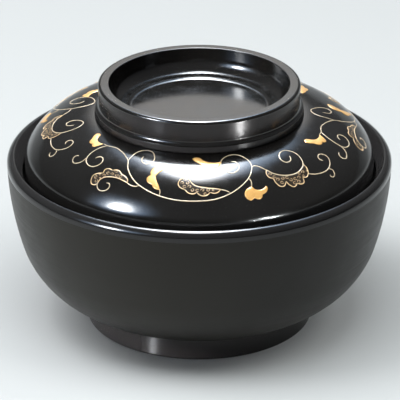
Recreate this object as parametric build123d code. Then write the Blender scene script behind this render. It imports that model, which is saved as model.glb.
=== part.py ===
from build123d import *
import math
import os

# A round lidded bowl of black lacquer ware, in millimetres.
# Z is the common axis of bowl and lid, and z = 0 is the surface that the foot stands on.
# Both vessels are bodies of revolution, so each is described by its half section (radius, height).

# ---- bowl ------------------------------------------------------------------------------
FOOT_R = 44.4          # outer radius of the foot ring and of its seat under the bowl
FOOT_HEIGHT = 9.3
FOOT_INNER_R = 39.4    # where the foot ring meets the locating spigot
FOOT_MOUTH_R = 40.6    # the foot ring's inside opens a little towards the table
FOOT_EDGE = 0.9        # rounding of the two edges that touch the table
SPIGOT_DEPTH = 2.3     # how far the locating spigot reaches down inside the foot ring
GLUE_GAP = 0.05        # radial clearance of a glued ring round its spigot
JOINT_CHAMFER = 0.3    # fine bevel that leaves a line where a ring meets its vessel

WALL = 5.0             # thickness of the bowl's wall, measured square to it
WALL_START_ANGLE = 14.4                      # slope of the outside where it leaves the foot
WALL_ARCS = [(36.0, 59.2), (127.6, 14.4)]    # (radius, turn in degrees), from foot to rim
INNER_UPPER_TURN = 11.8                      # how far the inside follows the upper of those arcs
FLOOR_Z = 12.0         # inside floor at the axis
RIM_TOP_Z = 68.3
RIM_INNER_R = 72.0     # crisp inner edge of the lip
RIM_INNER_Z = 68.0
SEAT_R = 68.8          # foot of the cone inside the rim that the lid settles into
SEAT_Z = 61.8

# ---- lid -------------------------------------------------------------------------------
DOME_R = 41.0          # where the dome comes out from under the grip ring
DOME_Z = 85.6
DOME_START_ANGLE = -1.7
DOME_ARCS = [(36.0, 22.0), (27.2, 35.5), (8.0, 27.0)]   # (radius, downward turn)
LID_WALL = 3.6
LID_EDGE_Z = 61.9      # bottom edge of the lid when it rests in the bowl
LID_EDGE_ROUND = 1.2

RING_TOP_Z = 98.0
RING_TOP_R = 39.4
RING_MOUTH_R = 35.1
RING_EDGE = 1.1        # soft outer edge of the ring's top
RING_INNER_R = 34.9    # inside radius just above the fillet
RING_FILLET = 5.7      # big round between the ring's inside and the floor
RING_FLOOR_Z = 88.3    # where that round comes down to the joint with the lid's disc
RING_COVE_TOP = (39.0, 89.9)    # the outside wall ends here in a small cove
RING_COVE = 1.6
RING_COLLAR_R = 40.4   # crisp edge of the collar at the ring's base
RING_COLLAR_Z = 88.2
RING_BASE_R = 40.7

DISC_R = 28.7          # raised disc on the lid that the ring is set round
DISC_RIM_Z = 88.4      # the disc's narrow raised rim, beside the joint
DISC_RIM_WIDTH = 0.5
DISC_SCOOP = 4.0       # concave round from the rim down to the disc's floor
DISC_FLOOR_Z = 87.8
LID_CEILING_Z = 83.6   # height of the lid's inside at the axis

# ---- gold ornament ---------------------------------------------------------------------
GOLD_BASE = 0.02       # clear of the lacquer by a film of size, the adhesive under the gold
GOLD_TOP = 0.2         # top of the gold above the lacquer
VINE_WIDTH = 0.6

# The ornament is three repeats of one scroll round the dome. Its points are (angle, distance):
# degrees about Z, with -90 at the front, and millimetres down the dome from DOME_R.
# Each repeat is drawn by hand, so the ends of a repeat lie a little lower or higher than the first's.
REPEATS = [(0.0, 0.0, 0.0), (118.5, 4.3, 0.0), (240.0, 0.0, -3.0)]   # (turn, shift at start, shift at end)
SCROLL_START = -153.0
SCROLL_LENGTH = 120.0
STROKE_STEPS = 3       # outline points per centre-line point of a vine
STROKE_SPAN = 15       # outline points in one solid of a long vine
SKIN_REACH = 28.5      # how far down the dome the gold may lie
SKIN_STEPS = 19

VINES = {
    "main_stem": [
        (-141, 5.8), (-138.5, 6), (-136, 5.5), (-133, 5.1), (-130, 5.7), (-127, 6.7), (-124, 8.4),
        (-122, 9.9), (-120, 13.3), (-117, 16.6), (-114, 19.1), (-111, 20.7), (-107, 22.4),
        (-103, 23.6), (-98, 24.5), (-92, 24.7), (-86, 24.3), (-82, 23.3), (-78.7, 21.9),
        (-75, 19.7), (-71, 16.4), (-69, 13.8), (-67.6, 11), (-67.2, 8), (-68.3, 5), (-70.5, 2.6),
        (-73.5, 1.9), (-77, 2.9), (-79.6, 5.2), (-80.4, 8.5), (-79.2, 11.5), (-76.8, 12.9),
        (-74.2, 12), (-72.7, 9.3), (-73.4, 7.1), (-75.3, 6.4)],
    "left_spiral": [
        (-138.2, 6.1), (-139.6, 8), (-140.5, 11), (-140.4, 14), (-139.3, 16.4), (-137, 17.7),
        (-134.6, 17.8), (-132.7, 16.5), (-132.1, 14.5), (-133, 12.8), (-134.7, 12.3), (-136, 13),
        (-136.3, 14)],
    "left_curl": [
        (-140.1, 15.2), (-140.4, 17.4), (-141.7, 19), (-143.4, 19.7), (-145, 18.9), (-145.6, 17.4),
        (-145, 16.4), (-144.1, 16.2)],
    "upper_spiral": [
        (-122, 9.9), (-122.1, 7), (-121.6, 3.9), (-120, 1.9), (-117.5, 1), (-115, 1.3), (-112.7, 3.2),
        (-111.2, 5.8), (-111.2, 8), (-113, 9.5), (-115.3, 9), (-116.8, 7.2), (-116.8, 5.6)],
    "first_leaf_stem": [(-112, 20.2), (-113.8, 21), (-115.5, 20.7), (-117, 20.1)],
    "first_leaf_curl": [
        (-128.1, 22.2), (-127.9, 24), (-126.8, 25.4), (-125.3, 25.7), (-123.6, 24.9), (-122.9, 23.3),
        (-123.6, 22.1), (-124.8, 22.2)],
    "second_leaf_stem": [(-104.3, 20.6), (-103.9, 22), (-104.1, 23.3)],
    "third_leaf_stem": [(-82.6, 20.1), (-80.6, 20.7), (-78.9, 21.8)],
    "fourth_leaf_stem": [(-70.9, 16.3), (-70.4, 18), (-70.9, 20.4)],
    "fifth_leaf_stem": [(-67.5, 10.9), (-66, 10.8), (-64.2, 12), (-62.5, 14)],
    "right_spiral": [
        (-62.4, 14), (-60.5, 16.3), (-57.8, 17.9), (-54.5, 18.8), (-51, 18.8), (-48.2, 17.8),
        (-46, 16.3), (-44.7, 13.8), (-44.3, 11), (-45.3, 8.5), (-47.5, 6.9), (-50, 7), (-52.3, 8.6),
        (-53.3, 10.8), (-52.3, 12.8), (-50.3, 13), (-48.7, 11.8), (-48.2, 10.4)],
    "tendril": [
        (-47, 20.7), (-44, 22), (-40.5, 22.6), (-37, 22.3), (-34.5, 20.8), (-33.1, 18.7),
        (-33.4, 16.7), (-35, 15.6), (-36.7, 15.9), (-37.4, 17.3), (-36.4, 18.5)],
    "tendril_curl": [
        (-37.2, 22.3), (-35.9, 23.2), (-35.8, 24.8), (-37, 26), (-38.3, 25.5), (-38.4, 24.6)],
}

# A leaf's outline is a list of lobes. Each lobe is a smooth run that goes on from the last point
# of the lobe before it, so lobes meet in a notch or a tip, and the last one closes the outline.
LEFT_LEAF = [
    [(-143.5, 6.2), (-146, 5.8), (-148, 4.4), (-149.4, 2.8), (-151.2, 2.4), (-152.4, 3.5)],
    [(-151.3, 5.2), (-149.6, 6.7), (-148.6, 8.2), (-147, 9), (-145.5, 8.7)],
    [(-144.4, 9.5), (-143, 9.5), (-142, 8.3), (-140.8, 5.9)]]
LEFT_LEAF_ROOT = -140.8
FRONT_LEAF_TURN = 61.3         # the front leaf is the left one again, further round and longer
FRONT_LEAF_STRETCH = 1.2


def front_leaf_angle(angle):
    """Angle on the front leaf for an angle on the left leaf."""
    return LEFT_LEAF_ROOT + FRONT_LEAF_TURN + FRONT_LEAF_STRETCH * (angle - LEFT_LEAF_ROOT)


SOLID_LEAVES = {
    "left_leaf": LEFT_LEAF,
    "front_leaf": [[(front_leaf_angle(angle), drop) for angle, drop in lobe] for lobe in LEFT_LEAF],
    "second_leaf": [
        [(-104.7, 19.5), (-106, 17.5), (-107, 15.2), (-106.4, 13.3), (-105, 11.6), (-104.9, 10)],
        [(-106, 9.6), (-107.9, 9.9), (-109.6, 11.2), (-109.9, 13.2), (-109.4, 14.9)],
        [(-110.3, 16.2), (-110.1, 17.6), (-109.2, 18.6), (-107.6, 19.1)],
        [(-106.9, 20.2), (-105.6, 20.9), (-104.2, 21)]],
    "fourth_leaf": [
        [(-73, 21), (-74.1, 22.8), (-73.6, 24.9), (-72.2, 25.7), (-71, 25)],
        [(-70, 25.6), (-68.9, 25.7), (-68.1, 25), (-67.8, 24.2)],
        [(-66.6, 23.7), (-65.5, 22.7), (-65.1, 21.5), (-65.5, 20.7)],
        [(-66.7, 21.7), (-68.5, 22), (-70, 21.3), (-70.8, 20)]],
}

FILIGREE_LEAVES = {
    "first_leaf": [
        [(-117.4, 18.7), (-118.8, 17.6), (-120.7, 17), (-122.2, 15.9), (-123.7, 15.7), (-125.3, 16.4)],
        [(-127, 16.1), (-128.4, 17), (-128.2, 18.7)],
        [(-130.2, 19.5), (-131.5, 21), (-131.2, 23), (-130.3, 24.3), (-129, 24.3), (-128, 23.5)],
        [(-127.9, 21.8), (-126.6, 20.2), (-124.3, 19.3), (-121, 19.1), (-118.6, 19.6), (-116.9, 20.1)]],
    "third_leaf": [
        [(-83.5, 21.3), (-85, 21.6), (-86.1, 21.1)],
        [(-87.3, 22.3), (-88.9, 22.6), (-90.2, 21.9), (-90.8, 21.1)],
        [(-92.3, 21.8), (-94, 21.3), (-95.2, 20)],
        [(-96.7, 19.4), (-97.8, 18), (-97.6, 16.2), (-96, 14.8), (-94.4, 15), (-93.2, 16.5)],
        [(-92.2, 17.7), (-90.5, 18.6), (-87, 19.3), (-84.3, 19.7), (-82.2, 20.1)]],
    "fifth_leaf": [
        [(-63.3, 15.8), (-62.9, 17.6), (-61.6, 18.4)],
        [(-61.3, 20.6), (-60.2, 22.3), (-58.7, 22.5), (-57.2, 20.9)],
        [(-56.8, 22.3), (-55.4, 23.8), (-54.2, 23.6), (-53.4, 22.9)],
        [(-52, 23.7), (-50.6, 23.4), (-50, 21.4)],
        [(-48.3, 21.7), (-46.8, 20.6), (-45.8, 18.2), (-46, 16.5)],
        [(-48.2, 17.8), (-51, 18.8), (-54.5, 18.8), (-57.8, 17.9), (-60.5, 16.3), (-62.4, 13.9)]],
}


def direction(angle):
    """Unit vector in the half section, at this many degrees above the radius."""
    return math.cos(math.radians(angle)), math.sin(math.radians(angle))


def offset_point(point, angle, distance):
    """A point moved square to a curve's direction, to its left when distance is positive."""
    along = direction(angle)
    return point[0] - along[1] * distance, point[1] + along[0] * distance


def arc_chain(start, angle, arcs):
    """Tangent arcs (radius, signed turn) laid end to end; returns the edges, the end and its angle."""
    edges = []
    point = start
    for radius, turn in arcs:
        side = math.copysign(1, turn)
        centre = offset_point(point, angle, side * radius)
        middle = offset_point(centre, angle + turn / 2, -side * radius)
        end = offset_point(centre, angle + turn, -side * radius)
        edges.append(ThreePointArc((point[0], 0, point[1]), (middle[0], 0, middle[1]), (end[0], 0, end[1])))
        point = end
        angle += turn
    return edges, point, angle


def section_line(*points):
    """Straight runs through half-section points."""
    return [Line((a[0], 0, a[1]), (b[0], 0, b[1])) for a, b in zip(points, points[1:])]


def section_arc(start, through, end):
    """One arc through three half-section points."""
    return [ThreePointArc(*[(p[0], 0, p[1]) for p in (start, through, end)])]


def corner_round(corner, towards_start, towards_end):
    """A quarter round at a square corner, given the points where it leaves the two sides."""
    centre = (towards_start[0] + towards_end[0] - corner[0], towards_start[1] + towards_end[1] - corner[1])
    radius = math.dist(centre, towards_start)
    reach = math.dist(centre, corner)
    through = tuple(c + (k - c) * radius / reach for c, k in zip(centre, corner))
    return section_arc(towards_start, through, towards_end)


def turned(edges):
    """The body of revolution of a closed half section."""
    face = Face(Wire(edges))
    return revolve(face, Axis.Z, 360)


def make_bowl_body():
    """The bowl: one turned shell with a rolled lip and a cone inside the rim for the lid."""
    outside, wall_top, _ = arc_chain((FOOT_R, FOOT_HEIGHT), WALL_START_ANGLE, WALL_ARCS)
    roll = RIM_TOP_Z - wall_top[1]
    lip_outer = (wall_top[0] - roll, RIM_TOP_Z)
    edges = list(outside)
    edges += corner_round((wall_top[0], RIM_TOP_Z), wall_top, lip_outer)
    edges += section_line(lip_outer, (RIM_INNER_R, RIM_INNER_Z), (SEAT_R, SEAT_Z))
    inner_start = offset_point((FOOT_R, FOOT_HEIGHT), WALL_START_ANGLE, WALL)
    inner_arcs = [(radius - WALL, turn) for radius, turn in WALL_ARCS]
    inner_arcs[-1] = (inner_arcs[-1][0], INNER_UPPER_TURN)
    inside, inner_top, _ = arc_chain(inner_start, WALL_START_ANGLE, inner_arcs)
    edges += section_line((SEAT_R, SEAT_Z), inner_top)
    edges += inside
    edges += section_line(
        inner_start, (0, FLOOR_Z), (0, FOOT_HEIGHT - SPIGOT_DEPTH),
        (FOOT_INNER_R - GLUE_GAP, FOOT_HEIGHT - SPIGOT_DEPTH),
        (FOOT_INNER_R - GLUE_GAP, FOOT_HEIGHT), (FOOT_R, FOOT_HEIGHT))
    return turned(edges)


def make_foot_ring():
    """The foot: a ring glued round a low spigot under the bowl."""
    top = FOOT_HEIGHT
    outer_corner = (FOOT_R, 0)
    inner_corner = (FOOT_MOUTH_R, 0)
    outer_up = (FOOT_R, FOOT_EDGE)
    outer_in = (FOOT_R - FOOT_EDGE, 0)
    inner_out = (FOOT_MOUTH_R + FOOT_EDGE, 0)
    inner_up = (FOOT_MOUTH_R, FOOT_EDGE)
    edges = section_line(
        inner_up, (FOOT_INNER_R, top - SPIGOT_DEPTH), (FOOT_INNER_R, top),
        (FOOT_R - JOINT_CHAMFER, top), (FOOT_R, top - JOINT_CHAMFER), outer_up)
    edges += corner_round(outer_corner, outer_up, outer_in)
    edges += section_line(outer_in, inner_out)
    edges += corner_round(inner_corner, inner_out, inner_up)
    return turned(edges)


def dome_edges(lift):
    """The dome's outside from the grip ring to the straight skirt, raised square to itself by lift."""
    start = offset_point((DOME_R, DOME_Z), DOME_START_ANGLE, lift)
    arcs = [(radius + lift, -turn) for radius, turn in DOME_ARCS]
    edges, end, angle = arc_chain(start, DOME_START_ANGLE, arcs)
    return edges, start, end, angle


def disc_edges():
    """The top of the raised disc, from the axis out to its rim: a flat floor and a concave round."""
    scoop_angle = math.degrees(math.acos(1 - (DISC_RIM_Z - DISC_FLOOR_Z) / DISC_SCOOP))
    scoop_run = DISC_SCOOP * math.sin(math.radians(scoop_angle))
    floor_end = (DISC_R - DISC_RIM_WIDTH - scoop_run, DISC_FLOOR_Z)
    edges = section_line((0, DISC_FLOOR_Z), floor_end)
    scoop, rim_start, _ = arc_chain(floor_end, 0, [(DISC_SCOOP, scoop_angle)])
    edges += scoop
    edges += section_line(
        rim_start, (DISC_R - JOINT_CHAMFER / 2, DISC_RIM_Z), (DISC_R, DISC_RIM_Z - JOINT_CHAMFER / 2))
    return edges


def make_lid_dome():
    """The lid: a domed shell with a raised disc on top for the grip ring."""
    outside, start, skirt_top, skirt_angle = dome_edges(0)
    along = direction(skirt_angle)
    skirt_length = (LID_EDGE_Z + LID_EDGE_ROUND - skirt_top[1]) / along[1]
    skirt_end = (skirt_top[0] + along[0] * skirt_length, LID_EDGE_Z + LID_EDGE_ROUND)
    inside, inner_start, inner_skirt, _ = dome_edges(-LID_WALL)
    inner_end = (inner_skirt[0] + along[0] * skirt_length, LID_EDGE_Z + LID_EDGE_ROUND)
    bottom_out = (skirt_end[0] - LID_EDGE_ROUND, LID_EDGE_Z)
    bottom_in = (inner_end[0] + LID_EDGE_ROUND, LID_EDGE_Z)
    edges = disc_edges()
    edges += section_line((DISC_R, DISC_RIM_Z - JOINT_CHAMFER / 2), (DISC_R, DOME_Z), start)
    edges += outside
    edges += section_line(skirt_top, skirt_end)
    edges += corner_round((skirt_end[0], LID_EDGE_Z), skirt_end, bottom_out)
    edges += section_line(bottom_out, bottom_in)
    edges += corner_round((inner_end[0], LID_EDGE_Z), bottom_in, inner_end)
    edges += section_line(inner_end, inner_skirt)
    edges += inside
    edges += section_line(inner_start, (0, LID_CEILING_Z), (0, DISC_FLOOR_Z))
    return turned(edges)


def make_lid_ring():
    """The grip ring: a tall ring with a cove and a collar at its base, open at the top."""
    inner_base = DISC_R + GLUE_GAP
    top_corner = (RING_TOP_R, RING_TOP_Z)
    cove_turn = 75.0
    cove, cove_end, _ = arc_chain(RING_COVE_TOP, -90, [(RING_COVE, cove_turn)])
    fillet_top = (RING_INNER_R, RING_FLOOR_Z + RING_FILLET)
    fillet_end = (RING_INNER_R - RING_FILLET, RING_FLOOR_Z)
    edges = list(cove)
    edges += section_line(
        cove_end, (RING_COLLAR_R, RING_COLLAR_Z), (RING_BASE_R, DOME_Z + JOINT_CHAMFER),
        (RING_BASE_R - JOINT_CHAMFER, DOME_Z), (inner_base, DOME_Z),
        (inner_base, RING_FLOOR_Z - JOINT_CHAMFER / 2), (inner_base + JOINT_CHAMFER / 2, RING_FLOOR_Z),
        fillet_end)
    edges += corner_round((RING_INNER_R, RING_FLOOR_Z), fillet_end, fillet_top)
    edges += section_line(
        fillet_top, (RING_MOUTH_R, RING_TOP_Z - 0.2), (RING_MOUTH_R + 0.2, RING_TOP_Z),
        (RING_TOP_R - RING_EDGE, RING_TOP_Z))
    edges += corner_round(top_corner, (RING_TOP_R - RING_EDGE, RING_TOP_Z), (RING_TOP_R, RING_TOP_Z - RING_EDGE))
    edges += section_line((RING_TOP_R, RING_TOP_Z - RING_EDGE), RING_COVE_TOP)
    return turned(edges)


def dome_point(drop, lift):
    """Half-section point this distance down the dome from DOME_R, and lift above it."""
    point = (DOME_R, DOME_Z)
    angle = DOME_START_ANGLE
    for radius, turn in DOME_ARCS:
        centre = offset_point(point, angle, -radius)
        sweep = min(math.degrees(drop / radius), turn)
        point = offset_point(centre, angle - sweep, radius)
        drop -= math.radians(sweep) * radius
        angle -= sweep
        if sweep < turn:
            break
    return offset_point(point, angle, lift)


def plan_point(angle, drop, repeat):
    """Where an ornament point lies in plan, in one repeat of the scroll."""
    turn, start_shift, end_shift = repeat
    share = (angle - SCROLL_START) / SCROLL_LENGTH
    radius, _ = dome_point(drop + start_shift * (1 - share) ** 3 + end_shift * share ** 3, 0)
    heading = math.radians(angle + turn)
    return Vector(radius * math.cos(heading), radius * math.sin(heading), 0)


def stroke_faces(points):
    """A flat stroke of constant width along a smooth line, in spans that meet end to end."""
    line = Spline(*points)
    steps = STROKE_STEPS * (len(points) - 1)
    left = []
    right = []
    for step in range(steps + 1):
        centre = line.position_at(step / steps)
        across = line.tangent_at(step / steps).cross(Vector(0, 0, 1)) * (VINE_WIDTH / 2)
        left.append(centre + across)
        right.append(centre - across)
    spans = max(1, round(steps / STROKE_SPAN))
    cuts = [steps * span // spans for span in range(spans + 1)]
    faces = []
    for low, high in zip(cuts, cuts[1:]):
        one_side = left[low:high + 1]
        other_side = right[low:high + 1]
        faces.append(Face(Wire([
            Spline(*one_side), Line(one_side[-1], other_side[-1]),
            Spline(*reversed(other_side)), Line(other_side[0], one_side[0])])))
    return faces


def leaf_faces(lobes):
    """A flat leaf inside its lobes."""
    last = lobes[-1][-1]
    edges = []
    for lobe in lobes:
        edges.append(Spline(last, *lobe))
        last = lobe[-1]
    return [Face(Wire(edges))]


def vine_outlines(repeat):
    """The faces of every vine of one repeat."""
    faces = []
    for points in VINES.values():
        faces += stroke_faces([plan_point(angle, drop, repeat) for angle, drop in points])
    return faces


def leaf_outlines(leaves, repeat):
    """The faces of a family of leaves in one repeat."""
    faces = []
    for lobes in leaves.values():
        faces += leaf_faces([[plan_point(angle, drop, repeat) for angle, drop in lobe] for lobe in lobes])
    return faces


def gold_skin():
    """The thin layer over the dome that all the gold is cut from."""
    drops = [SKIN_REACH * step / SKIN_STEPS for step in range(SKIN_STEPS + 1)]
    lower = [dome_point(drop, GOLD_BASE) for drop in drops]
    upper = [dome_point(drop, GOLD_TOP) for drop in drops]
    edges = [Spline(*[(r, 0, z) for r, z in lower])]
    edges += section_line(lower[-1], upper[-1])
    edges.append(Spline(*[(r, 0, z) for r, z in reversed(upper)]))
    edges += section_line(upper[0], lower[0])
    return turned(edges)


def make_gold(outlines_of):
    """Every repeat of a family of outlines, cut from the gold layer."""
    skin = gold_skin()
    pieces = []
    for repeat in REPEATS:
        for face in outlines_of(repeat):
            blank = extrude(face.moved(Location((0, 0, LID_EDGE_Z))), RING_TOP_Z - LID_EDGE_Z, (0, 0, 1))
            pieces += (blank & skin).solids()
    return Compound(pieces)


PARTS = {
    "bowl_body": make_bowl_body(),
    "bowl_foot_ring": make_foot_ring(),
    "lid_dome": make_lid_dome(),
    "lid_grip_ring": make_lid_ring(),
    "gold_vines": make_gold(vine_outlines),
    "gold_solid_leaves": make_gold(lambda repeat: leaf_outlines(SOLID_LEAVES, repeat)),
    "gold_filigree_leaves": make_gold(lambda repeat: leaf_outlines(FILIGREE_LEAVES, repeat)),
}

os.makedirs("parts", exist_ok=True)
for name, shape in PARTS.items():
    export_step(shape, f"parts/{name}.step")
    print(name, round(shape.volume, 1), len(shape.solids()))
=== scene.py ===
import math

import bpy
import numpy as np
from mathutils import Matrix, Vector
from mathutils.geometry import delaunay_2d_cdt


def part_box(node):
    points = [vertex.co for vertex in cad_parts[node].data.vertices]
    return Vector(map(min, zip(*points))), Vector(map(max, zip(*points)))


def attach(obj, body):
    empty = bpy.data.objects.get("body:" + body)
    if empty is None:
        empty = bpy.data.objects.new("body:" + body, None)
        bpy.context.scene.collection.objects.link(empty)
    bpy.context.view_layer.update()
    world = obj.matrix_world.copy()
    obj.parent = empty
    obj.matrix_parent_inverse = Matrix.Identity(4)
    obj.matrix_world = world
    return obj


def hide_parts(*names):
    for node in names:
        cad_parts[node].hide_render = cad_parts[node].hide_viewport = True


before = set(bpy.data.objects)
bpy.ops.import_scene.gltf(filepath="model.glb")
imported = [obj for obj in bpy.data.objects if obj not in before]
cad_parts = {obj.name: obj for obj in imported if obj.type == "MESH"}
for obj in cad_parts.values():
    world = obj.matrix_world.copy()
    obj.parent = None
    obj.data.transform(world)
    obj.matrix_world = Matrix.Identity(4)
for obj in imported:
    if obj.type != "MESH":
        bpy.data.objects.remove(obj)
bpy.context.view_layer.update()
MM = 0.001

# ---------------------------------------------------------------- sizes, in millimetres
# The outer sizes come from the frame; the rest are the half sections of the turned pieces.
FOOT_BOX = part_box("bowl_foot_ring")
BOWL_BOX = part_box("bowl_body")
DOME_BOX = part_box("lid_dome")
RING_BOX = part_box("lid_grip_ring")

FOOT_HEIGHT = FOOT_BOX[1][2] / MM
FOOT_R = 44.4
FOOT_INNER_R = 39.4
FOOT_MOUTH_R = 40.6
FOOT_EDGE = 0.9
SPIGOT_Z = BOWL_BOX[0][2] / MM

WALL = 5.0
WALL_START_ANGLE = 14.4
WALL_ARCS = [(36.0, 59.2), (127.6, 14.4)]
INNER_UPPER_TURN = 11.8
FLOOR_Z = 12.0
RIM_TOP_Z = BOWL_BOX[1][2] / MM
RIM_INNER_R = 72.0
RIM_INNER_Z = 68.0
SEAT_R = 68.8
SEAT_Z = 61.8
LIP_LINE_Z = 64.6        # the polished lip ends here, and the satin wall begins

DOME_R = 41.0
DOME_Z = 85.6
DOME_START_ANGLE = -1.7
DOME_ARCS = [(36.0, 22.0), (27.2, 35.5), (8.0, 27.0)]
LID_WALL = 3.6
LID_EDGE_Z = DOME_BOX[0][2] / MM
LID_EDGE_ROUND = 1.2
DISC_R = 28.7
DISC_RIM_Z = DOME_BOX[1][2] / MM
DISC_RIM_WIDTH = 0.5
DISC_SCOOP = 4.0
DISC_FLOOR_Z = 87.8
LID_CEILING_Z = 83.6

RING_TOP_Z = RING_BOX[1][2] / MM
RING_TOP_R = 39.4
RING_MOUTH_R = 35.1
RING_EDGE = 1.1
RING_INNER_R = 34.9
RING_FILLET = 5.7
RING_FLOOR_Z = 88.3
RING_COVE_TOP = (39.0, 89.9)
RING_COVE = 1.6
RING_COLLAR_R = 40.4
RING_COLLAR_Z = 88.25
RING_BASE_R = 40.7

SEGMENTS = 240           # round the axis
FINE_EDGE = 0.15         # rounding of the edges that look crisp
MAX_STEP = 1.4           # longest run between two rings of a lathe mesh
TOLERANCE = 0.01         # slack when a run's place on a section is looked up


# ---------------------------------------------------------------- half sections
def direction(angle):
    """Unit vector in the half section, at this many degrees above the radius."""
    return math.cos(math.radians(angle)), math.sin(math.radians(angle))


def offset_point(point, angle, distance):
    """A point moved square to a curve's direction, to its left when distance is positive."""
    along = direction(angle)
    return point[0] - along[1] * distance, point[1] + along[0] * distance


def arc_chain(start, angle, arcs, degrees_per_step=2.0):
    """Points of tangent arcs (radius, signed turn) laid end to end, and the last direction."""
    points = [start]
    point = start
    for radius, turn in arcs:
        side = math.copysign(1, turn)
        centre = offset_point(point, angle, side * radius)
        length = abs(math.radians(turn)) * radius
        steps = max(2, math.ceil(abs(turn) / degrees_per_step), math.ceil(length / MAX_STEP))
        for step in range(1, steps + 1):
            points.append(offset_point(centre, angle + turn * step / steps, -side * radius))
        point = points[-1]
        angle += turn
    return points, angle


def fillet(before, corner, after, radius, steps=5):
    """Points of the round that takes the place of a corner."""
    to_before = Vector((before[0] - corner[0], before[1] - corner[1]))
    to_after = Vector((after[0] - corner[0], after[1] - corner[1]))
    reach = min(to_before.length, to_after.length) * 0.49
    to_before.normalize()
    to_after.normalize()
    half = math.acos(max(-1.0, min(1.0, to_before.dot(to_after)))) / 2
    tangent = min(radius / math.tan(half), reach)
    radius = tangent * math.tan(half)
    bisector = (to_before + to_after).normalized()
    centre = Vector(corner) + bisector * (radius / math.sin(half))
    first = Vector(corner) + to_before * tangent - centre
    last = Vector(corner) + to_after * tangent - centre
    sweep = first.angle_signed(last)
    points = []
    for step in range(steps + 1):
        turn = -sweep * step / steps
        x = first.x * math.cos(turn) - first.y * math.sin(turn)
        y = first.x * math.sin(turn) + first.y * math.cos(turn)
        points.append((centre.x + x, centre.y + y))
    return points


def softened(points, radii):
    """A closed half section with its named corners rounded: radii maps a point's index to a radius."""
    result = []
    count = len(points)
    for index, point in enumerate(points):
        if index in radii:
            result += fillet(points[index - 1], point, points[(index + 1) % count], radii[index])
        else:
            result.append(point)
    return result


def supported(points):
    """A closed section with runs no longer than MAX_STEP, and a ring close to each end of a long run."""
    result = []
    for here, there in zip(points, points[1:] + points[:1]):
        result.append(here)
        length = math.dist(here, there)
        if here[0] < 1e-6 and there[0] < 1e-6:
            continue
        if length > 3 * FINE_EDGE:
            inner = length - 2 * FINE_EDGE
            steps = max(1, math.ceil(inner / MAX_STEP))
            for step in range(steps + 1):
                share = (FINE_EDGE + inner * step / steps) / length
                radius = here[0] + share * (there[0] - here[0])
                result.append((radius, here[1] + share * (there[1] - here[1])))
    return result


def lathe(name, section, material_of, materials):
    """A smooth mesh turned from a closed half section; material_of(here, there) picks a run's slot."""
    section = supported(section)
    verts = []
    rings = []
    for radius, height in section:
        if radius < 1e-6:
            rings.append([len(verts)])
            verts.append((0, 0, height * MM))
            continue
        rings.append(list(range(len(verts), len(verts) + SEGMENTS)))
        for segment in range(SEGMENTS):
            heading = 2 * math.pi * segment / SEGMENTS
            verts.append((radius * math.cos(heading) * MM, radius * math.sin(heading) * MM, height * MM))
    faces = []
    slots = []
    for index, ring in enumerate(rings):
        other_index = (index + 1) % len(rings)
        other = rings[other_index]
        if len(ring) == 1 and len(other) == 1:
            continue
        slot = material_of(section[index], section[other_index])
        for segment in range(SEGMENTS):
            after = (segment + 1) % SEGMENTS
            if len(ring) == 1:
                faces.append((ring[0], other[after], other[segment]))
            elif len(other) == 1:
                faces.append((ring[segment], ring[after], other[0]))
            else:
                faces.append((ring[segment], ring[after], other[after], other[segment]))
            slots.append(slot)
    return new_mesh(name, verts, faces, materials, slots)


def new_mesh(name, verts, faces, materials, slots=None):
    """A smooth-shaded mesh object."""
    mesh = bpy.data.meshes.new(name)
    mesh.from_pydata(verts, [], faces)
    for material in materials:
        mesh.materials.append(material)
    if slots is not None:
        mesh.polygons.foreach_set("material_index", slots)
    mesh.polygons.foreach_set("use_smooth", [True] * len(faces))
    mesh.update()
    piece = bpy.data.objects.new(name, mesh)
    bpy.context.scene.collection.objects.link(piece)
    return piece


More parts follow.
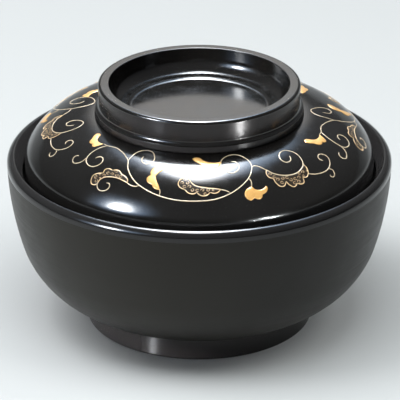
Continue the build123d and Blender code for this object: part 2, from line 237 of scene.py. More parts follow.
# ---------------------------------------------------------------- materials
class Nodes:
    """Short names for building a node material."""

    def __init__(self, name):
        self.material = bpy.data.materials.new(name)
        self.material.use_nodes = True
        self.tree = self.material.node_tree
        self.shader = self.tree.nodes["Principled BSDF"]
        self.where = self.add("ShaderNodeTexCoord").outputs["Object"]

    def add(self, kind, **values):
        node = self.tree.nodes.new(kind)
        for key, value in values.items():
            setattr(node, key, value)
        return node

    def link(self, source, target):
        self.tree.links.new(source, target)

    def noise(self, scale, detail=3.0, roughness=0.5):
        node = self.add("ShaderNodeTexNoise")
        node.inputs["Scale"].default_value = scale
        node.inputs["Detail"].default_value = detail
        node.inputs["Roughness"].default_value = roughness
        self.link(self.where, node.inputs["Vector"])
        return node.outputs["Fac"]

    def specks(self, scale, size):
        """White dots on black, one in each cell."""
        node = self.add("ShaderNodeTexVoronoi")
        node.inputs["Scale"].default_value = scale
        self.link(self.where, node.inputs["Vector"])
        return self.remap(node.outputs["Distance"], size, size * 0.5, 0.0, 1.0)

    def remap(self, source, from_low, from_high, to_low, to_high):
        node = self.add("ShaderNodeMapRange")
        node.clamp = True
        node.inputs["From Min"].default_value = from_low
        node.inputs["From Max"].default_value = from_high
        node.inputs["To Min"].default_value = to_low
        node.inputs["To Max"].default_value = to_high
        self.link(source, node.inputs["Value"])
        return node.outputs["Result"]

    def mix(self, factor, low, high):
        node = self.add("ShaderNodeMix", data_type="RGBA")
        self.link(factor, node.inputs["Factor"])
        for socket, value in ((node.inputs["A"], low), (node.inputs["B"], high)):
            if isinstance(value, tuple):
                socket.default_value = (*value, 1.0)
            else:
                self.link(value, socket)
        return [socket for socket in node.outputs if socket.type == "RGBA"][0]

    def maths(self, operation, first, second):
        node = self.add("ShaderNodeMath", operation=operation)
        for socket, value in zip(node.inputs, (first, second)):
            if isinstance(value, (int, float)):
                socket.default_value = value
            else:
                self.link(value, socket)
        return node.outputs[0]

    def bump(self, height, distance, strength=1.0, normal=None):
        node = self.add("ShaderNodeBump")
        node.inputs["Distance"].default_value = distance
        node.inputs["Strength"].default_value = strength
        self.link(height, node.inputs["Height"])
        if normal is not None:
            self.link(normal, node.inputs["Normal"])
        return node.outputs["Normal"]


def gloss_lacquer(name, low, high, roughness, specular=0.5):
    """Polished black lacquer: a faint waviness, polishing haze and a little dust."""
    nodes = Nodes(name)
    shader = nodes.shader
    cloud = nodes.noise(60, 4)
    nodes.link(nodes.mix(cloud, low, high), shader.inputs["Base Color"])
    haze = nodes.remap(nodes.noise(140, 6, 0.7), 0.3, 0.75, roughness * 0.75, roughness * 1.5)
    dust = nodes.specks(900, 0.1)
    nodes.link(nodes.maths("ADD", haze, nodes.maths("MULTIPLY", dust, 0.25)), shader.inputs["Roughness"])
    wave = nodes.bump(nodes.noise(45, 1), 0.00006, 0.35)
    fine = nodes.bump(nodes.noise(2500, 2), 0.0000012, 0.5, wave)
    nodes.link(fine, shader.inputs["Normal"])
    shader.inputs["IOR"].default_value = 1.52
    shader.inputs["Specular IOR Level"].default_value = specular
    return nodes.material


def satin_lacquer():
    """The bowl's outside: rubbed to a satin, with the faint rings of the rubbing."""
    nodes = Nodes("lacquer_satin_black")
    shader = nodes.shader
    cloud = nodes.noise(35, 5, 0.6)
    nodes.link(
        nodes.mix(cloud, (0.0062, 0.0052, 0.0030), (0.0092, 0.0080, 0.0054)),
        shader.inputs["Base Color"])
    rings = nodes.add("ShaderNodeTexNoise")
    stretch = nodes.add("ShaderNodeMapping")
    stretch.inputs["Scale"].default_value = (18, 18, 1500)
    nodes.link(nodes.where, stretch.inputs["Vector"])
    nodes.link(stretch.outputs["Vector"], rings.inputs["Vector"])
    rings.inputs["Scale"].default_value = 1.0
    rings.inputs["Detail"].default_value = 2.0
    rubbed = nodes.remap(rings.outputs["Fac"], 0.3, 0.7, -0.03, 0.03)
    base = nodes.remap(nodes.noise(90, 5, 0.65), 0.3, 0.7, 0.36, 0.44)
    nodes.link(nodes.maths("ADD", base, rubbed), shader.inputs["Roughness"])
    grain = nodes.bump(nodes.noise(5200, 3, 0.6), 0.000006, 0.6)
    line = nodes.bump(rings.outputs["Fac"], 0.000004, 0.5, grain)
    nodes.link(line, shader.inputs["Normal"])
    shader.inputs["IOR"].default_value = 1.5
    shader.inputs["Specular IOR Level"].default_value = 0.25
    return nodes.material


def gold(name, low, high, metallic, grain=0.5, specular=0.5, bare=None, cover=0.5):
    """Sprinkled gold: grains of changing tone; bare is the lacquer seen where the grains are thin."""
    nodes = Nodes(name)
    shader = nodes.shader
    grains = nodes.add("ShaderNodeTexVoronoi")
    grains.inputs["Scale"].default_value = 7000
    nodes.link(nodes.where, grains.inputs["Vector"])
    tone = nodes.add("ShaderNodeSeparateColor")
    nodes.link(grains.outputs["Color"], tone.inputs["Color"])
    drift = nodes.noise(400, 4, 0.6)
    grain_share = nodes.maths("MULTIPLY", tone.outputs[0], 0.6)
    blend = nodes.maths("ADD", grain_share, nodes.maths("MULTIPLY", drift, 0.4))
    colour = nodes.mix(blend, low, high)
    if bare is not None:
        spread = nodes.maths("ADD", tone.outputs[1], drift)
        thin = nodes.remap(spread, 2 * cover - 0.2, 2 * cover + 0.2, 0.0, 1.0)
        colour = nodes.mix(thin, colour, bare)
    nodes.link(colour, shader.inputs["Base Color"])
    nodes.link(nodes.remap(tone.outputs[2], 0, 1, 0.33, 0.52), shader.inputs["Roughness"])
    nodes.link(nodes.bump(tone.outputs[1], 0.00002, grain), shader.inputs["Normal"])
    shader.inputs["Metallic"].default_value = metallic
    shader.inputs["Specular IOR Level"].default_value = specular
    shader.inputs["Coat Weight"].default_value = 0.8
    shader.inputs["Coat Roughness"].default_value = 0.14
    return nodes.material


GLOSS = gloss_lacquer("lacquer_gloss_black", (0.0026, 0.0023, 0.0019), (0.0044, 0.0040, 0.0034), 0.14)
LIP = gloss_lacquer("lacquer_lip_black", (0.007, 0.0066, 0.0062), (0.010, 0.0094, 0.009), 0.13, 0.35)
# The inside black is lifted towards grey: painted light for the shaded gap between lid and rim.
PAINTED_LIGHT_INSIDE = gloss_lacquer("lacquer_inside_painted_light", (0.022, 0.0205, 0.020), (0.032, 0.030, 0.029), 0.18, 0.45)
SEMI = gloss_lacquer("lacquer_semi_black", (0.006, 0.005, 0.0048), (0.009, 0.0078, 0.0074), 0.19, 0.25)
FOOT = gloss_lacquer("lacquer_foot_black", (0.012, 0.0104, 0.0100), (0.016, 0.0140, 0.0135), 0.17, 0.35)
SATIN = satin_lacquer()
GOLD_LINE = gold("gold_line", (0.33, 0.25, 0.15), (0.50, 0.395, 0.26), 0.3)
GOLD_TRACERY = gold("gold_tracery", (0.46, 0.30, 0.14), (0.68, 0.47, 0.25), 0.3)
GOLD_LEAF = gold("gold_leaf", (0.43, 0.22, 0.052), (0.585, 0.335, 0.10), 0.35)
GOLD_WASH = gold(
    "gold_filigree", (0.007, 0.004, 0.0016), (0.022, 0.013, 0.005), 0.0, grain=0.1, specular=0.1,
    bare=(0.004, 0.003, 0.002), cover=0.6)


# ---------------------------------------------------------------- turned pieces
def bowl_section():
    """The bowl's half section, from the foot up the outside, over the lip and down the inside."""
    start = (FOOT_R, FOOT_HEIGHT)
    outside, _ = arc_chain(start, WALL_START_ANGLE, WALL_ARCS)
    wall_top = outside[-1]
    roll = RIM_TOP_Z - wall_top[1]
    lip, _ = arc_chain(wall_top, 90, [(roll, 90)], 12)
    inner_arcs = [(WALL_ARCS[0][0] - WALL, WALL_ARCS[0][1]), (WALL_ARCS[1][0] - WALL, INNER_UPPER_TURN)]
    inner_start = offset_point(start, WALL_START_ANGLE, WALL)
    inside, _ = arc_chain(inner_start, WALL_START_ANGLE, inner_arcs)
    inside.reverse()
    mouth = [(RIM_INNER_R, RIM_INNER_Z), (SEAT_R, SEAT_Z)]
    points = outside + lip[1:]
    soft = {len(points): 0.3, len(points) + 1: 2.0}
    points += mouth + inside
    soft[len(points) - 1] = 8.0
    spigot_r = FOOT_INNER_R - 0.05
    points += [(0, FLOOR_Z), (0, SPIGOT_Z), (spigot_r, SPIGOT_Z), (spigot_r, FOOT_HEIGHT)]
    soft[0] = FINE_EDGE
    return softened(points, soft)


def make_bowl():
    """The bowl: satin outside up to the lip, polished lip and underside, polished inside in a black lifted
    towards grey, which is painted light for the shaded gap under the lid.
    """

    def slot_of(here, there):
        height = (here[1] + there[1]) / 2
        if is_outside(here) and is_outside(there) and height < LIP_LINE_Z:
            return 0
        return 2 if max(here[0], there[0]) < RIM_INNER_R + TOLERANCE and height > FLOOR_Z - 0.5 else 1

    return lathe("bowl_shell", bowl_section(), slot_of, [SATIN, LIP, PAINTED_LIGHT_INSIDE])


def is_outside(point):
    """Whether a bowl section point is on the outer wall."""
    outside, _ = arc_chain((FOOT_R, FOOT_HEIGHT), WALL_START_ANGLE, WALL_ARCS)
    return min(math.dist(point, other) for other in outside) < WALL * 0.3


def make_foot():
    """The foot ring, with two soft edges on the table and a fine bevel at the joint."""
    points = [
        (FOOT_R - 0.3, FOOT_HEIGHT), (FOOT_INNER_R, FOOT_HEIGHT), (FOOT_INNER_R, SPIGOT_Z),
        (FOOT_MOUTH_R, 0), (FOOT_R, 0), (FOOT_R, FOOT_HEIGHT - 0.3)]
    section = softened(points, {0: 0.08, 3: FOOT_EDGE, 4: FOOT_EDGE, 5: 0.08})
    section.reverse()
    return lathe("foot_ring", section, lambda here, there: 0, [FOOT])


def dome_chain(lift):
    """The dome's outside from the grip ring down to the straight skirt, raised by lift."""
    start = offset_point((DOME_R, DOME_Z), DOME_START_ANGLE, lift)
    return arc_chain(start, DOME_START_ANGLE, [(radius + lift, -turn) for radius, turn in DOME_ARCS], 1.5)


def disc_section():
    """The raised disc inside the grip ring: flat floor, concave round, narrow raised rim."""
    scoop_angle = math.degrees(math.acos(1 - (DISC_RIM_Z - DISC_FLOOR_Z) / DISC_SCOOP))
    scoop_run = DISC_SCOOP * math.sin(math.radians(scoop_angle))
    floor_end = (DISC_R - DISC_RIM_WIDTH - scoop_run, DISC_FLOOR_Z)
    scoop, _ = arc_chain(floor_end, 0, [(DISC_SCOOP, scoop_angle)], 3)
    soft_rim = fillet(scoop[-2], scoop[-1], (DISC_R, DISC_RIM_Z), 0.3)
    return [(0, DISC_FLOOR_Z)] + scoop[:-1] + soft_rim + [(DISC_R, DISC_RIM_Z)]


def make_dome():
    """The lid's shell, with its inside and the raised disc inside the grip ring."""
    outside, angle = dome_chain(0)
    inside, _ = dome_chain(-LID_WALL)
    along = direction(angle)
    run = (LID_EDGE_Z - outside[-1][1]) / along[1]
    outer_edge = (outside[-1][0] + along[0] * run, LID_EDGE_Z)
    inner_edge = (inside[-1][0] + along[0] * run, LID_EDGE_Z)
    disc = disc_section()
    points = disc + [(DISC_R, DOME_Z - 0.05)] + outside
    soft = {len(disc) - 1: 0.12, len(points): LID_EDGE_ROUND, len(points) + 1: LID_EDGE_ROUND}
    points += [outer_edge, inner_edge] + inside[::-1] + [(0, LID_CEILING_Z)]
    section = softened(points, soft)
    section.reverse()
    return lathe("lid_shell", section, lambda here, there: 0, [GLOSS])


def make_grip_ring():
    """The grip ring: wall and riser in semi-gloss, polished cove, lip and inside with a big round."""
    base = DISC_R + 0.03
    cove, _ = arc_chain(RING_COVE_TOP, -90, [(RING_COVE, 70)], 6)
    inside, _ = arc_chain((RING_INNER_R, RING_FLOOR_Z + RING_FILLET), -90, [(RING_FILLET, -90)], 3)
    points = [(base, DOME_Z), (RING_BASE_R - 0.3, DOME_Z)]
    points += [(RING_BASE_R, DOME_Z + 0.3), (RING_COLLAR_R, RING_COLLAR_Z)] + cove[::-1]
    top = len(points)
    points += [(RING_TOP_R, RING_TOP_Z), (RING_MOUTH_R, RING_TOP_Z)] + inside
    points += [(base, RING_FLOOR_Z)]
    soft = {2: 0.1, 3: 0.2, top: RING_EDGE, top + 1: 0.25, len(points) - 1: 0.12}

    def slot_of(here, there):
        outer = min(here[0], there[0]) > RING_COVE_TOP[0] - TOLERANCE
        low = min(here[1], there[1])
        high = max(here[1], there[1])
        on_wall = low > RING_COVE_TOP[1] - 0.05 and high < RING_TOP_Z - RING_EDGE + 0.05
        on_riser = high < RING_COLLAR_Z + TOLERANCE
        return 1 if outer and (on_wall or on_riser) else 0

    return lathe("grip_ring", softened(points, soft), slot_of, [GLOSS, SEMI])


# ---------------------------------------------------------------- gold ornament
# Points are (angle, drop): degrees about Z, -90 at the front, and millimetres down the dome.
REPEATS = [(0.0, 0.0, 0.0), (118.5, 4.3, 0.0), (240.0, 0.0, -3.0)]
SCROLL_START = -153.0
SCROLL_LENGTH = 120.0
LEAF_ROUND = 0.35        # width of a leaf's rounded edge
VINE_WIDTH = 0.4
VINE_HEIGHT = 0.09
LEAF_HEIGHT = 0.17
WASH_HEIGHT = 0.05
SUNK = 0.03              # how far a gold edge goes under the lacquer's face
OUTLINE_WIDTH = 0.34     # the drawn edge of a filigree leaf
OUTLINE_HEIGHT = 0.09
SCROLL_WIDTH = 0.2
SCROLL_HEIGHT = 0.07
SCROLL_REACH = 0.72      # largest radius of a small scroll
SCROLL_STEPS = 14
PLATE_PITCH = 0.42       # spacing of the points inside a leaf's mesh

VINES = {
    "main_stem": [
        (-141, 5.8), (-138.5, 6), (-136, 5.5), (-133, 5.1), (-130, 5.7), (-127, 6.7), (-124, 8.4),
        (-122, 9.9), (-120, 13.3), (-117, 16.6), (-114, 19.1), (-111, 20.7), (-107, 22.4),
        (-103, 23.6), (-98, 24.5), (-92, 24.7), (-86, 24.3), (-82, 23.3), (-78.7, 21.9),
        (-75, 19.7), (-71, 16.4), (-69, 13.8), (-67.6, 11), (-67.2, 8), (-68.3, 5), (-70.5, 2.6),
        (-73.5, 1.9), (-77, 2.9), (-79.6, 5.2), (-80.4, 8.5), (-79.2, 11.5), (-76.8, 12.9),
        (-74.2, 12), (-72.7, 9.3), (-73.4, 7.1), (-75.3, 6.4)],
    "left_spiral": [
        (-138.2, 6.1), (-139.6, 8), (-140.5, 11), (-140.4, 14), (-139.3, 16.4), (-137, 17.7),
        (-134.6, 17.8), (-132.7, 16.5), (-132.1, 14.5), (-133, 12.8), (-134.7, 12.3), (-136, 13),
        (-136.3, 14)],
    "left_curl": [
        (-140.1, 15.2), (-140.4, 17.4), (-141.7, 19), (-143.4, 19.7), (-145, 18.9), (-145.6, 17.4),
        (-145, 16.4), (-144.1, 16.2)],
    "upper_spiral": [
        (-122, 9.9), (-122.1, 7), (-121.6, 3.9), (-120, 1.9), (-117.5, 1), (-115, 1.3), (-112.7, 3.2),
        (-111.2, 5.8), (-111.2, 8), (-113, 9.5), (-115.3, 9), (-116.8, 7.2), (-116.8, 5.6)],
    "first_leaf_stem": [(-112, 20.2), (-113.8, 21), (-115.5, 20.7), (-117, 20.1)],
    "first_leaf_curl": [
        (-128.1, 22.2), (-127.9, 24), (-126.8, 25.4), (-125.3, 25.7), (-123.6, 24.9), (-122.9, 23.3),
        (-123.6, 22.1), (-124.8, 22.2)],
    "second_leaf_stem": [(-104.3, 20.6), (-103.9, 22), (-104.1, 23.3)],
    "third_leaf_stem": [(-82.6, 20.1), (-80.6, 20.7), (-78.9, 21.8)],
    "fourth_leaf_stem": [(-70.9, 16.3), (-70.4, 18), (-70.9, 20.4)],
    "fifth_leaf_stem": [(-67.5, 10.9), (-66, 10.8), (-64.2, 12), (-62.5, 14)],
    "right_spiral": [
        (-62.4, 14), (-60.5, 16.3), (-57.8, 17.9), (-54.5, 18.8), (-51, 18.8), (-48.2, 17.8),
        (-46, 16.3), (-44.7, 13.8), (-44.3, 11), (-45.3, 8.5), (-47.5, 6.9), (-50, 7), (-52.3, 8.6),
        (-53.3, 10.8), (-52.3, 12.8), (-50.3, 13), (-48.7, 11.8), (-48.2, 10.4)],
    "tendril": [
        (-47, 20.7), (-44, 22), (-40.5, 22.6), (-37, 22.3), (-34.5, 20.8), (-33.1, 18.7),
        (-33.4, 16.7), (-35, 15.6), (-36.7, 15.9), (-37.4, 17.3), (-36.4, 18.5)],
    "tendril_curl": [
        (-37.2, 22.3), (-35.9, 23.2), (-35.8, 24.8), (-37, 26), (-38.3, 25.5), (-38.4, 24.6)],
}

# A leaf is a list of lobes; each lobe goes on from the last point of the one before it.
LEFT_LEAF = [
    [(-143.5, 6.2), (-146, 5.8), (-148, 4.4), (-149.4, 2.8), (-151.2, 2.4), (-152.4, 3.5)],
    [(-151.3, 5.2), (-149.6, 6.7), (-148.6, 8.2), (-147, 9), (-145.5, 8.7)],
    [(-144.4, 9.5), (-143, 9.5), (-142, 8.3), (-140.8, 5.9)]]
LEFT_LEAF_ROOT = -140.8
FRONT_LEAF_TURN = 61.3
FRONT_LEAF_STRETCH = 1.2


def front_leaf_angle(angle):
    """Angle on the front leaf for an angle on the left leaf."""
    return LEFT_LEAF_ROOT + FRONT_LEAF_TURN + FRONT_LEAF_STRETCH * (angle - LEFT_LEAF_ROOT)


SOLID_LEAVES = {
    "left_leaf": LEFT_LEAF,
    "front_leaf": [[(front_leaf_angle(angle), drop) for angle, drop in lobe] for lobe in LEFT_LEAF],
    "second_leaf": [
        [(-104.7, 19.5), (-106, 17.5), (-107, 15.2), (-106.4, 13.3), (-105, 11.6), (-104.9, 10)],
        [(-106, 9.6), (-107.9, 9.9), (-109.6, 11.2), (-109.9, 13.2), (-109.4, 14.9)],
        [(-110.3, 16.2), (-110.1, 17.6), (-109.2, 18.6), (-107.6, 19.1)],
        [(-106.9, 20.2), (-105.6, 20.9), (-104.2, 21)]],
    "fourth_leaf": [
        [(-73, 21), (-74.1, 22.8), (-73.6, 24.9), (-72.2, 25.7), (-71, 25)],
        [(-70, 25.6), (-68.9, 25.7), (-68.1, 25), (-67.8, 24.2)],
        [(-66.6, 23.7), (-65.5, 22.7), (-65.1, 21.5), (-65.5, 20.7)],
        [(-66.7, 21.7), (-68.5, 22), (-70, 21.3), (-70.8, 20)]],
}

FILIGREE_LEAVES = {
    "first_leaf": [
        [(-117.4, 18.7), (-118.8, 17.6), (-120.7, 17), (-122.2, 15.9), (-123.7, 15.7), (-125.3, 16.4)],
        [(-127, 16.1), (-128.4, 17), (-128.2, 18.7)],
        [(-130.2, 19.5), (-131.5, 21), (-131.2, 23), (-130.3, 24.3), (-129, 24.3), (-128, 23.5)],
        [(-127.9, 21.8), (-126.6, 20.2), (-124.3, 19.3), (-121, 19.1), (-118.6, 19.6), (-116.9, 20.1)]],
    "third_leaf": [
        [(-83.5, 21.3), (-85, 21.6), (-86.1, 21.1)],
        [(-87.3, 22.3), (-88.9, 22.6), (-90.2, 21.9), (-90.8, 21.1)],
        [(-92.3, 21.8), (-94, 21.3), (-95.2, 20)],
        [(-96.7, 19.4), (-97.8, 18), (-97.6, 16.2), (-96, 14.8), (-94.4, 15), (-93.2, 16.5)],
        [(-92.2, 17.7), (-90.5, 18.6), (-87, 19.3), (-84.3, 19.7), (-82.2, 20.1)]],
    "fifth_leaf": [
        [(-63.3, 15.8), (-62.9, 17.6), (-61.6, 18.4)],
        [(-61.3, 20.6), (-60.2, 22.3), (-58.7, 22.5), (-57.2, 20.9)],
        [(-56.8, 22.3), (-55.4, 23.8), (-54.2, 23.6), (-53.4, 22.9)],
        [(-52, 23.7), (-50.6, 23.4), (-50, 21.4)],
        [(-48.3, 21.7), (-46.8, 20.6), (-45.8, 18.2), (-46, 16.5)],
        [(-48.2, 17.8), (-51, 18.8), (-54.5, 18.8), (-57.8, 17.9), (-60.5, 16.3), (-62.4, 13.9)]],
}


def dome_place(drop):
    """Radius, height and slope of the dome this far down its section."""
    point = (DOME_R, DOME_Z)
    angle = DOME_START_ANGLE
    for radius, turn in DOME_ARCS:
        centre = offset_point(point, angle, -radius)
        sweep = min(math.degrees(drop / radius), turn)
        point = offset_point(centre, angle - sweep, radius)
        drop -= math.radians(sweep) * radius
        angle -= sweep
        if sweep < turn:
            break
    return point[0], point[1], angle


def on_dome(angle, drop, lift):
    """The 3-D point over the dome, in metres."""
    radius, height, slope = dome_place(drop)
    radius, height = offset_point((radius, height), slope, lift)
    heading = math.radians(angle)
    return Vector((radius * math.cos(heading), radius * math.sin(heading), height)) * MM


def in_repeat(point, repeat):
    """An ornament point of the scroll, moved to one of its repeats."""
    turn, start_shift, end_shift = repeat
    share = (point[0] - SCROLL_START) / SCROLL_LENGTH
    return point[0] + turn, point[1] + start_shift * (1 - share) ** 3 + end_shift * share ** 3


def flat(point):
    """An ornament point as millimetres round and down the dome, near that point."""
    return math.radians(point[0]) * MEAN_R, point[1]


MEAN_R = dome_place(14)[0]


def smooth_line(points, step=0.4):
    """Centripetal Catmull-Rom through (angle, drop) points, in even steps."""
    flat_points = [Vector(flat(p)) for p in points]
    ends = [flat_points[0] * 2 - flat_points[1]] + flat_points + [flat_points[-1] * 2 - flat_points[-2]]
    result = [flat_points[0]]
    for p0, p1, p2, p3 in zip(ends, ends[1:], ends[2:], ends[3:]):
        t1 = math.sqrt((p1 - p0).length)
        t2 = t1 + math.sqrt((p2 - p1).length)
        t3 = t2 + math.sqrt((p3 - p2).length)
        count = max(2, round((p2 - p1).length / step))
        for index in range(1, count + 1):
            t = t1 + (t2 - t1) * index / count
            a1 = p0 * (t1 - t) / t1 + p1 * t / t1
            a2 = p1 * (t2 - t) / (t2 - t1) + p2 * (t - t1) / (t2 - t1)
            a3 = p2 * (t3 - t) / (t3 - t2) + p3 * (t - t2) / (t3 - t2)
            b1 = a1 * (t2 - t) / t2 + a2 * t / t2
            b2 = a2 * (t3 - t) / (t3 - t1) + a3 * (t - t1) / (t3 - t1)
            result.append(b1 * (t2 - t) / (t2 - t1) + b2 * (t - t1) / (t2 - t1))
    return [(math.degrees(p.x / MEAN_R), p.y) for p in result]


def leaf_outline(lobes, step=0.3):
    """The closed outline of a leaf, as (angle, drop) points."""
    outline = []
    last = lobes[-1][-1]
    for lobe in lobes:
        outline += smooth_line([last] + lobe, step)[:-1]
        last = lobe[-1]
    return outline


class Ornament:
    """Verts and faces of one family of gold pieces, gathered into one mesh."""

    def __init__(self):
        self.verts = []
        self.faces = []

    def stroke(self, line, width, height):
        """A raised line with a rounded top and tapered ends, lying on the dome."""
        places = [on_dome(angle, drop, 0) for angle, drop in line]
        count = len(places)
        across_shares = (-1.0, -0.8, -0.4, 0.0, 0.4, 0.8, 1.0)
        first = len(self.verts)
        for index, (angle, drop) in enumerate(line):
            ahead = places[min(index + 1, count - 1)]
            behind = places[max(index - 1, 0)]
            up = (on_dome(angle, drop, 1) - places[index]).normalized()
            side = up.cross((ahead - behind).normalized()).normalized()
            nearest_end = min(index, count - 1 - index)
            taper = min(1.0, 0.35 + 0.3 * nearest_end)
            for share in across_shares:
                lift = height * taper * math.sqrt(1 - share * share) - (SUNK if abs(share) == 1 else 0)
                self.verts.append(places[index] + side * (share * width * taper / 2 * MM) + up * (lift * MM))
        row = len(across_shares)
        for index in range(count - 1):
            for column in range(row - 1):
                low = first + index * row + column
                self.faces.append((low, low + 1, low + row + 1, low + row))
            low = first + index * row
            self.faces.append((low + row - 1, low, low + row, low + 2 * row - 1))
        self.faces.append(tuple(first + column for column in range(row))[::-1])
        self.faces.append(tuple(first + (count - 1) * row + column for column in range(row)))

    def plate(self, outline, height, crown=0.0):
        """A leaf-shaped plate with a rounded edge, crowned towards its middle."""
        edge = [flat(p) for p in outline]
        edge_array = np.array(edge)
        low = edge_array.min(axis=0)
        high = edge_array.max(axis=0)
        inner = []
        for column in range(int((high[0] - low[0]) / PLATE_PITCH) + 1):
            for line in range(int((high[1] - low[1]) / PLATE_PITCH) + 1):
                shift = PLATE_PITCH / 2 if line % 2 else 0
                spot = (low[0] + column * PLATE_PITCH + shift, low[1] + line * PLATE_PITCH)
                if inside_outline(spot, edge) and edge_distance(spot, edge_array) > 0.1:
                    inner.append(spot)
        points = [Vector(p) for p in edge + inner]
        border = [(i, (i + 1) % len(edge)) for i in range(len(edge))]
        whole = [list(range(len(edge)))]
        flat_verts, _, triangles, _, _, _ = delaunay_2d_cdt(points, border, whole, 1, 1e-5)
        distances = [edge_distance((v.x, v.y), edge_array) for v in flat_verts]
        widest = max(distances)
        first = len(self.verts)
        for vert, distance in zip(flat_verts, distances):
            rise = 1 - (1 - min(distance / LEAF_ROUND, 1.0)) ** 2
            lift = height * math.sqrt(rise) * (1 - crown + crown * distance / widest)
            if distance < 1e-3:
                lift = -SUNK
            self.verts.append(on_dome(math.degrees(vert.x / MEAN_R), vert.y, lift))
        under = len(self.verts)
        for vert in flat_verts:
            self.verts.append(on_dome(math.degrees(vert.x / MEAN_R), vert.y, -SUNK * 2))
        for triangle in triangles:
            self.faces.append(tuple(first + i for i in triangle))
            self.faces.append(tuple(under + i for i in reversed(triangle)))
        sides = {}
        for triangle in triangles:
            for side in zip(triangle, list(triangle[1:]) + [triangle[0]]):
                sides[side] = True
        for here, there in sides:
            if (there, here) not in sides:
                self.faces.append((first + there, first + here, under + here, under + there))

    def object(self, name, material):
        """The gathered mesh as a piece."""
        return new_mesh(name, self.verts, self.faces, [material])


def inside_outline(spot, edge):
    """Whether a flat point lies inside a closed outline."""
    inside = False
    for here, there in zip(edge, edge[1:] + edge[:1]):
        if (here[1] > spot[1]) != (there[1] > spot[1]):
            cross = here[0] + (spot[1] - here[1]) / (there[1] - here[1]) * (there[0] - here[0])
            if spot[0] < cross:
                inside = not inside
    return inside


def edge_distance(spot, edge_array):
    """Distance from a flat point to a closed outline."""
    start = edge_array
    run = np.roll(edge_array, -1, axis=0) - start
    share = np.clip(((np.array(spot) - start) * run).sum(axis=1) / (run * run).sum(axis=1), 0, 1)
    nearest = start + run * share[:, None]
    return float(np.hypot(*(nearest - np.array(spot)).T).min())


def scroll_spots(outline, pitch=1.8, margin=0.5):
    """Places for the small scrolls inside a filigree leaf, in staggered rows."""
    edge = [flat(p) for p in outline]
    edge_array = np.array(edge)
    low = edge_array.min(axis=0)
    high = edge_array.max(axis=0)
    spots = []
    row_pitch = pitch * 0.85
    rows = int((high[1] - low[1]) / row_pitch) + 1
    columns = int((high[0] - low[0]) / pitch) + 1
    for row in range(rows):
        for column in range(columns):
            across = low[0] + (column + 0.5 * (row % 2) + 0.3) * pitch
            spot = (across, low[1] + (row + 0.55) * row_pitch)
            room = edge_distance(spot, edge_array)
            if inside_outline(spot, edge) and room > margin:
                spots.append((spot, min(SCROLL_REACH, room - 0.1), row + column))
    return spots


def small_scroll(spot, radius, turn_index):
    """A tiny spiral of a little over one turn, as (angle, drop) points."""
    line = []
    for step in range(SCROLL_STEPS + 1):
        share = step / SCROLL_STEPS
        heading = 2.1 * turn_index + share * 2.2 * math.pi
        reach = radius * (1 - 0.6 * share)
        x = spot[0] + reach * math.cos(heading)
        y = spot[1] + reach * math.sin(heading)
        line.append((math.degrees(x / MEAN_R), y))
    return line


def make_ornament():
    """All the gold on the lid: lines, solid leaves and filigree leaves."""
    vines = Ornament()
    solids = Ornament()
    washes = Ornament()
    tracery = Ornament()
    for repeat in REPEATS:
        for points in VINES.values():
            vines.stroke(smooth_line([in_repeat(p, repeat) for p in points]), VINE_WIDTH, VINE_HEIGHT)
        for lobes in SOLID_LEAVES.values():
            placed = [[in_repeat(p, repeat) for p in lobe] for lobe in lobes]
            solids.plate(leaf_outline(placed), LEAF_HEIGHT, 0.25)
        for lobes in FILIGREE_LEAVES.values():
            placed = [[in_repeat(p, repeat) for p in lobe] for lobe in lobes]
            outline = leaf_outline(placed)
            washes.plate(outline, WASH_HEIGHT)
            last = placed[-1][-1]
            for lobe in placed:
                tracery.stroke(smooth_line([last] + lobe, 0.3), OUTLINE_WIDTH, OUTLINE_HEIGHT)
                last = lobe[-1]
            for spot, radius, index in scroll_spots(outline):
                tracery.stroke(small_scroll(spot, radius, index), SCROLL_WIDTH, SCROLL_HEIGHT)
    return (
        vines.object("vine_lines", GOLD_LINE), solids.object("solid_leaves", GOLD_LEAF),
        washes.object("filigree_ground", GOLD_WASH), tracery.object("filigree_lines", GOLD_TRACERY))


def place(piece, body, slot, *nodes):
    """Hangs a piece on the body it rides on and hides the nodes it stands for; the slot argument is not
    used.
    """
    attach(piece, body)
    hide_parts(*nodes)


bowl_shell = make_bowl()
foot_ring = make_foot()
lid_shell = make_dome()
grip_ring = make_grip_ring()
place(bowl_shell, "bowl", "lacquer_satin_black", "bowl_body")
place(foot_ring, "bowl", "lacquer_foot_black", "bowl_foot_ring")
place(lid_shell, "lid", "lacquer_gloss_black", "lid_dome")
place(grip_ring, "lid", "lacquer_gloss_black", "lid_grip_ring")
vine_lines, solid_leaves, filigree_ground, filigree_lines = make_ornament()
place(vine_lines, "lid", "gold_line", "gold_vines")
place(solid_leaves, "lid", "gold_leaf", "gold_solid_leaves")
place(filigree_ground, "lid", "gold_filigree", "gold_filigree_leaves")
place(filigree_lines, "lid", "gold_line", "gold_filigree_leaves")
TURNED_PIECES = [bowl_shell, foot_ring, lid_shell, grip_ring]
GOLD_PIECES = [vine_lines, solid_leaves, filigree_ground, filigree_lines]


# ---------------------------------------------------------------- stage, light and camera
def make_stage():
    """A pale sweep: a floor that curves up behind the object into a backdrop."""
    nodes = Nodes("sweep_paper")
    nodes.link(
        nodes.mix(nodes.noise(3, 2), (0.58, 0.605, 0.615), (0.60, 0.625, 0.635)),
        nodes.shader.inputs["Base Color"])
    nodes.shader.inputs["Roughness"].default_value = 0.6
    nodes.link(nodes.bump(nodes.noise(800, 2), 0.00002, 0.3), nodes.shader.inputs["Normal"])
    front_y = -2.5
    curve_y = 1.1
    curve_r = 0.5
    half_width = 3.0
    profile = [(front_y, 0.0), (curve_y, 0.0)]
    for turn in range(9, 82, 9):
        slope = math.radians(turn)
        profile.append((curve_y + curve_r * math.sin(slope), curve_r - curve_r * math.cos(slope)))
    verts = []
    faces = []
    for y, z in profile:
        verts += [(-half_width, y, z), (half_width, y, z)]
    for index in range(len(profile) - 1):
        low = 2 * index
        faces.append((low, low + 1, low + 3, low + 2))
    sweep = new_mesh("sweep", verts, faces, [nodes.material])
    return sweep


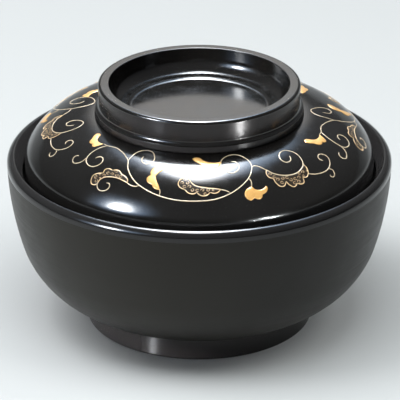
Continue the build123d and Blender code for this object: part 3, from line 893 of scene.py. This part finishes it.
def group(name, pieces):
    """A collection that says which pieces a light reaches."""
    collection = bpy.data.collections.new(name)
    for piece in pieces:
        collection.objects.link(piece)
    return collection


def area_light(name, place_at, look_at, size, radiance, colour, reaches):
    """A rectangular soft light aimed at a point, which lights only the pieces it reaches."""
    data = bpy.data.lights.new(name, "AREA")
    data.shape = "RECTANGLE"
    data.size, data.size_y = size
    data.energy = radiance * 4 * size[0] * size[1]
    data.color = colour
    light = bpy.data.objects.new(name, data)
    light.location = place_at
    light.rotation_euler = (Vector(look_at) - Vector(place_at)).to_track_quat("-Z", "Y").to_euler()
    light.light_linking.receiver_collection = reaches
    bpy.context.scene.collection.objects.link(light)
    return light


def fade_edges(light):
    """Lets a light fall off from its middle to its edges, like a lamp behind a diffuser."""
    light.data.use_nodes = True
    tree = light.data.node_tree
    where = tree.nodes.new("ShaderNodeNewGeometry")
    centred = tree.nodes.new("ShaderNodeVectorMath")
    centred.operation = "SUBTRACT"
    centred.inputs[1].default_value = (0.5, 0.5, 0)
    reach = tree.nodes.new("ShaderNodeVectorMath")
    reach.operation = "LENGTH"
    fade = tree.nodes.new("ShaderNodeMapRange")
    fade.interpolation_type = "SMOOTHSTEP"
    fade.inputs["From Min"].default_value = 0.05
    fade.inputs["From Max"].default_value = 0.5
    fade.inputs["To Min"].default_value = 1.0
    fade.inputs["To Max"].default_value = 0.0
    tree.links.new(where.outputs["Parametric"], centred.inputs[0])
    tree.links.new(centred.outputs["Vector"], reach.inputs[0])
    tree.links.new(reach.outputs["Value"], fade.inputs["Value"])
    tree.links.new(fade.outputs["Result"], tree.nodes["Emission"].inputs["Strength"])


def make_world():
    """Even dim light from above, darker below the horizon."""
    world = bpy.data.worlds.new("studio")
    world.use_nodes = True
    tree = world.node_tree
    where = tree.nodes.new("ShaderNodeTexCoord")
    split = tree.nodes.new("ShaderNodeSeparateXYZ")
    level = tree.nodes.new("ShaderNodeMapRange")
    level.inputs["From Min"].default_value = -0.05
    level.inputs["From Max"].default_value = 0.5
    level.inputs["To Min"].default_value = 0.05
    level.inputs["To Max"].default_value = 0.26
    tree.links.new(where.outputs["Generated"], split.inputs["Vector"])
    tree.links.new(split.outputs["Z"], level.inputs["Value"])
    tree.links.new(level.outputs["Result"], tree.nodes["Background"].inputs["Strength"])
    tree.nodes["Background"].inputs["Color"].default_value = (0.95, 0.97, 1.0, 1)
    bpy.context.scene.world = world


def make_lights(sweep):
    """Soft lights for the ware, three for the floor, and low ones that shine up through the floor.

    The low lights ignore the floor, and only the ware blocks them.
    """
    centre = (0, 0, 0.08)
    low_aim = (0, -0.04, 0.06)
    left_low = (-0.45, -0.42, -0.2)
    right_low = (0.47, -0.44, -0.2)
    white = (1, 1, 1)
    ware = group("ware", TURNED_PIECES + GOLD_PIECES)
    stage = group("stage_only", [sweep])
    rings = group("grip_ring_only", [grip_ring])
    foot = group("foot_only", [foot_ring])
    domes = group("dome_and_gold", [lid_shell] + GOLD_PIECES)
    soft_lights = [
        area_light("overhead_core", (-0.02, 0.533, 1.042), centre, (0.44, 1.3), 46.0, white, ware),
        area_light("overhead_haze", (0.01, 0.6, 1.0), centre, (0.72, 1.4), 9.0, (0.55, 0.74, 1), ware),
        area_light("behind_glow", (0.0, 1.35, 0.72), centre, (0.6, 0.5), 1.15, (1, 0.96, 0.9), ware),
        area_light("left_front", (-0.81, -0.58, 0.62), centre, (0.38, 0.46), 90.0, (0.97, 0.99, 1), ware),
        area_light("left_haze", (-0.80, -0.60, 0.60), centre, (1.0, 0.9), 6.0, (0.46, 0.68, 1), ware)]
    right_front = area_light(
        "right_front", (0.80, -0.90, -0.12), centre, (0.5, 0.7), 60.0, (0.93, 0.97, 1), domes)
    for light in soft_lights + [right_front]:
        fade_edges(light)
    area_light("floor_left", (-0.8, -0.05, 1.15), centre, (0.9, 0.9), 4.6, white, stage)
    area_light("floor_right", (0.9, -0.25, 1.0), centre, (0.8, 0.8), 2.5, (1, 1, 0.97), stage)
    area_light("floor_top", (-0.05, -0.3, 1.4), centre, (1.0, 1.0), 3.4, (0.97, 1, 1), stage)
    foot_kicker = area_light("foot_kicker", left_low, low_aim, (0.05, 0.3), 11.0, (0.93, 0.96, 1), foot)
    left_kicker = area_light("left_kicker", left_low, low_aim, (0.1, 0.3), 2.6, (0.85, 0.9, 1), rings)
    right_kicker = area_light("right_kicker", right_low, low_aim, (0.05, 0.3), 75.0, white, rings)
    for low_light in (foot_kicker, left_kicker, right_kicker, right_front):
        low_light.light_linking.blocker_collection = ware
        low_light.data.cycles.use_multiple_importance_sampling = False


def make_camera():
    """A long lens, looking down at the object from the front."""
    data = bpy.data.cameras.new("camera")
    data.sensor_width = 36
    data.lens = 327.7
    data.shift_x = 0.00175
    camera = bpy.data.objects.new("camera", data)
    camera.location = (0, -1.3, 0.6441)
    camera.rotation_euler = (math.radians(90 - 24.638), 0, 0)
    bpy.context.scene.collection.objects.link(camera)
    bpy.context.scene.camera = camera


make_world()
make_lights(make_stage())
make_camera()
bpy.context.scene.view_settings.view_transform = "Standard"
